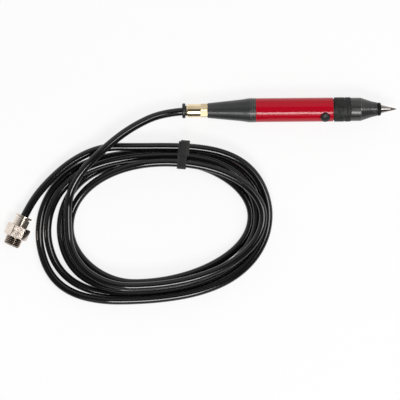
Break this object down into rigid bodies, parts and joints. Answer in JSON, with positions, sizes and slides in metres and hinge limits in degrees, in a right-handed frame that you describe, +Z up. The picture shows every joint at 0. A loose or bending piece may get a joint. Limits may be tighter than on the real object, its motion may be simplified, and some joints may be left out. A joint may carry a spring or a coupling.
{
  "type": "pneumatic engraving pen",
  "caption": "Air driven engraving pen with a red grip, push button, knurled regulator ring and striking needle, with its black hose coiled and tied and a threaded connector on its end.",
  "frame": {"origin": "on the table under the middle of the pen, measured without the hose", "axes": "+X along the pen towards the needle, +Z up from the table, -Y towards the coiled hose"},
  "size_m": [0.2954, 0.1546, 0.0252],
  "materials": {
    "red_sleeve": "gloss",
    "dark_metal": "satin",
    "knurled_metal": "satin",
    "brass": "machined",
    "black_plastic": "satin",
    "strap": "matte",
    "hose": "gloss",
    "nickel": "polished",
    "steel": "ground",
    "hard_tip": "ground",
    "core_metal": "machined",
    "bronze": "machined",
    "seal_rubber": "matte"
  },
  "bodies": {
    "pen_body": {"body_sleeve": "red_sleeve", "rear_cap": "dark_metal", "nose_cone": "dark_metal", "thrust_washer": "knurled_metal", "inlet_fitting": "brass", "hose_tie": "strap", "hose_lead": "hose", "hose_coil": "hose", "hose_tail": "hose", "connector_collar": "nickel", "connector_barrel": "nickel", "connector_body": "nickel", "hammer_cylinder": "steel", "stylus_spring": "steel", "button_spring": "steel", "filter_clip": "steel", "grip_collet": "steel", "stop_pin": "steel", "body_core": "core_metal", "cylinder_plug": "core_metal", "guide_bush": "bronze", "air_filter": "bronze", "connector_insert": "bronze", "nose_ring": "seal_rubber", "cap_seal": "seal_rubber", "regulator_seal": "seal_rubber", "nose_seal": "seal_rubber", "tube_seal": "seal_rubber"},
    "button": {"button_cap": "black_plastic", "valve_spool": "core_metal", "spool_seal_upper": "seal_rubber", "spool_seal_lower": "seal_rubber"},
    "regulator": {"regulator_ring": "knurled_metal"},
    "stylus": {"stylus_shank": "steel", "stylus_tip": "hard_tip"},
    "hammer": {"hammer": "steel"},
    "release": {"release_ring": "black_plastic"}
  },
  "joints": [
    {"name": "button_press", "type": "slide", "parent": "pen_body", "child": "button", "axis": [0, 0.6428, -0.766], "range_m": [0, 0.0011], "stiffness_N_per_m": 1500, "springref_m": -0.001, "deforming": ["button_spring"]},
    {"name": "regulator_turn", "type": "hinge", "parent": "pen_body", "child": "regulator", "pos_m": [0.04, 0, 0.00925], "axis": [1, 0, 0], "range_deg": [-60, 60]},
    {"name": "stylus_strike", "type": "slide", "parent": "pen_body", "child": "stylus", "axis": [1, 0, 0], "range_m": [0, 0.0015], "stiffness_N_per_m": 2000, "springref_m": -0.001, "deforming": ["stylus_spring"]},
    {"name": "hammer_stroke", "type": "slide", "parent": "pen_body", "child": "hammer", "axis": [1, 0, 0], "range_m": [-0.006, 0]},
    {"name": "release_push", "type": "slide", "parent": "pen_body", "child": "release", "axis": [1, 0, 0], "range_m": [0, 0.0007], "stiffness_N_per_m": 400, "springref_m": -0.0005}
  ]
}
